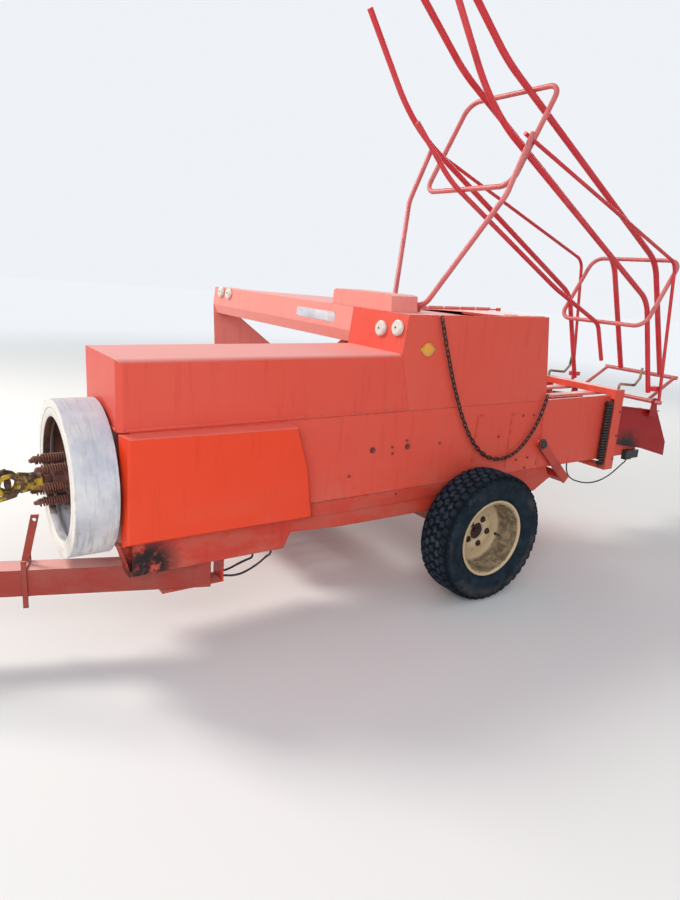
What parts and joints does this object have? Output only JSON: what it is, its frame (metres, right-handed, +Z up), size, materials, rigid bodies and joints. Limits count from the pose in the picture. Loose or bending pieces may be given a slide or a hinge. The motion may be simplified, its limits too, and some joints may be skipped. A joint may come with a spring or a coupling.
{
  "type": "square baler",
  "caption": "Small towed square baler with pickup, feeder hood, flywheel drive, knotter housing and a folded wagon chute.",
  "frame": {"origin": "middle of the whole machine's box, seen from above, at ground level", "axes": "+Z up, -X towards the drawbar and hitch, +Y towards the pickup side, -Y the near side of the bale chamber"},
  "size_m": [5.1418, 2.5, 3.0127],
  "materials": {
    "faded_red": "sun-faded orange-red paint on sheet metal, chalky, with dust and rust at the edges",
    "deep_red": "dark red paint on tube and plate, scratched at the bends",
    "rusty_red": "worn red-brown paint with rust showing through",
    "rust": "rusted cast and forged iron",
    "dark_steel": "dark, oily and rusted steel",
    "off_white": "chipped off-white paint on cast iron",
    "yellow": "yellow paint worn to rust",
    "rim_tan": "aged cream-tan rim paint with rust",
    "tyre": "weathered blue-black rubber",
    "black_rubber": "black rubber",
    "black_plastic": "black plastic guard tube",
    "reflector": "milky round reflectors, one amber"
  },
  "bodies": {
    "machine": {"frame_rails": "rusty_red", "bale_chamber": "faded_red", "bale_case": "faded_red", "axle": "rusty_red", "drawbar_bracket": "rusty_red", "front_box": "faded_red", "side_guard": "faded_red", "gearbox": "rust", "plunger": "rust", "twine_housing": "faded_red", "knotters": "dark_steel", "feeder_hood": "faded_red", "hood_cap": "faded_red", "feeder_fork": "rust", "feed_floor": "faded_red", "tension_frame": "faded_red", "tension_rails": "faded_red", "tension_springs": "dark_steel", "tension_cranks": "rust", "chute_brackets": "deep_red", "reflectors": "reflector", "tail_lamp": "dark_steel", "front_lead_upper": "black_rubber", "front_lead_lower": "black_rubber", "tail_lead": "black_rubber", "safety_chain": "dark_steel"},
    "left_wheel": {"left_rim": "rim_tan", "left_tyre": "tyre"},
    "right_wheel": {"right_rim": "rim_tan", "right_tyre": "tyre"},
    "flywheel": {"flywheel": "off_white", "slip_clutch": "rust", "input_yoke": "yellow"},
    "drive_shaft": {"drive_shaft": "yellow", "shaft_guard": "black_plastic"},
    "drawbar": {"drawbar": "rusty_red", "hitch_eye": "rust", "shaft_rest": "rusty_red", "jack_tube": "rusty_red"},
    "jack_leg": {"jack_leg": "dark_steel"},
    "pickup": {"pickup_frame": "faded_red"},
    "wind_guard": {"wind_guard": "deep_red"},
    "tine_reel": {"tine_reel": "dark_steel"},
    "gauge_wheel": {"gauge_wheel": "black_rubber"},
    "needle_yoke": {"needle_yoke": "rusty_red"},
    "housing_lid": {"housing_lid": "faded_red"},
    "chute": {"chute_base": "deep_red", "chute_hoops": "deep_red", "chute_floor_rails": "deep_red", "chute_corner_rails": "deep_red", "chute_side_rails": "deep_red", "chute_top_rail": "deep_red", "chute_stay": "deep_red"}
  },
  "joints": [
    {"name": "left_wheel_spin", "type": "hinge", "parent": "machine", "child": "left_wheel", "pos_m": [0.76188, -1.143, 0.345], "axis": [0, 1, 0], "continuous": true},
    {"name": "right_wheel_spin", "type": "hinge", "parent": "machine", "child": "right_wheel", "pos_m": [0.76188, 1.119, 0.345], "axis": [0, 1, 0], "continuous": true},
    {"name": "flywheel_spin", "type": "hinge", "parent": "machine", "child": "flywheel", "pos_m": [-1.18812, -0.741, 0.77], "axis": [1, 0, 0], "continuous": true},
    {"name": "drawbar_swing", "type": "hinge", "parent": "machine", "child": "drawbar", "pos_m": [-0.83812, -0.876, 0.34], "axis": [0, 0, 1], "range_deg": [0, 14]},
    {"name": "shaft_swing", "type": "hinge", "parent": "machine", "child": "drive_shaft", "pos_m": [-1.43812, -0.741, 0.77], "axis": [0, 0, 1], "range_deg": [0, 29]},
    {"name": "jack_slide", "type": "slide", "parent": "drawbar", "child": "jack_leg", "axis": [0, 0, 1], "range_m": [0, 0.14]},
    {"name": "pickup_lift", "type": "hinge", "parent": "machine", "child": "pickup", "pos_m": [0.32188, 0.339, 0.545], "axis": [0, -1, 0], "range_deg": [0, 20]},
    {"name": "wind_guard_lift", "type": "hinge", "parent": "pickup", "child": "wind_guard", "pos_m": [0.16188, 0.339, 0.75], "axis": [0, 1, 0], "range_deg": [0, 35]},
    {"name": "tine_reel_spin", "type": "hinge", "parent": "pickup", "child": "tine_reel", "pos_m": [-0.06812, 0.339, 0.43], "axis": [0, 1, 0], "continuous": true},
    {"name": "gauge_wheel_spin", "type": "hinge", "parent": "pickup", "child": "gauge_wheel", "pos_m": [0.00188, 1.139, 0.28], "axis": [0, 1, 0], "continuous": true},
    {"name": "needle_swing", "type": "hinge", "parent": "machine", "child": "needle_yoke", "pos_m": [1.30188, -0.741, 0.753], "axis": [0, 1, 0], "range_deg": [0, 90]},
    {"name": "lid_swing", "type": "hinge", "parent": "machine", "child": "housing_lid", "pos_m": [0.93688, -0.607, 1.472], "axis": [-1, 0, 0], "range_deg": [0, 95]},
    {"name": "chute_fold", "type": "hinge", "parent": "machine", "child": "chute", "pos_m": [2.29188, -0.741, 0.95], "axis": [0, 1, 0], "range_deg": [0, 110]}
  ],
  "couplings": [
    {"joint": "shaft_swing", "follows": "drawbar_swing", "ratio": 2}
  ]
}
